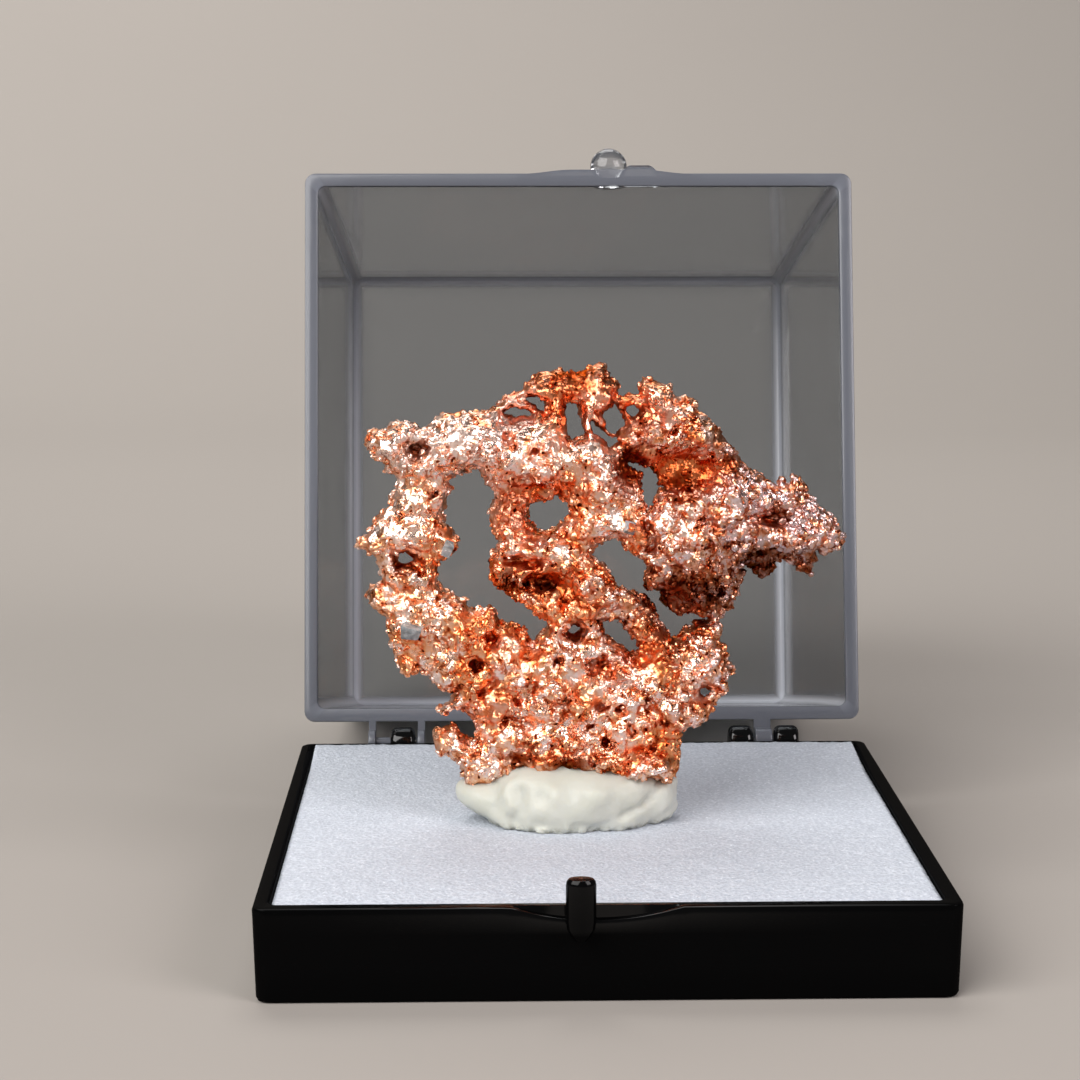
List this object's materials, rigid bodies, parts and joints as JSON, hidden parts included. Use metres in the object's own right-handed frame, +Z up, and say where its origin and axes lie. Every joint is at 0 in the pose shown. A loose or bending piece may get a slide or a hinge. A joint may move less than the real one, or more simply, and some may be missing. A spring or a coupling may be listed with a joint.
{
  "type": "native copper specimen in a hinged display box",
  "caption": "Branching native copper nugget pressed into white putty on a foam pad, in a small black display box with a clear hinged lid standing open.",
  "frame": {"origin": "middle of the tray's flat underside", "axes": "+Z up from the underside, +X to the right as seen from the open front, +Y back towards the hinge"},
  "size_m": [0.0682, 0.1418, 0.0804],
  "materials": {
    "black_plastic": "moulded, glossy, fine scuffs",
    "clear_plastic": "clear moulded plastic, faintly grey at the edges",
    "foam": "fine open-cell foam, matt with sparkling cells",
    "putty": "soft mineral tack, satin, pressed by hand",
    "copper": "cleaned native copper, hackly and bright, deep orange in the hollows",
    "quartz": "small cloudy crystal grains"
  },
  "bodies": {
    "box": {"box_base": "black_plastic", "foam_pad": "foam", "putty": "putty", "copper_nugget": "copper", "quartz_grain_column": "quartz", "quartz_grain_gap": "quartz", "quartz_grain_middle": "quartz"},
    "lid": {"lid": "clear_plastic"}
  },
  "joints": [
    {"name": "lid_hinge", "type": "hinge", "parent": "box", "child": "lid", "pos_m": [0, 0.0366, 0.009], "axis": [1, 0, 0], "range_deg": [0, 104]}
  ]
}
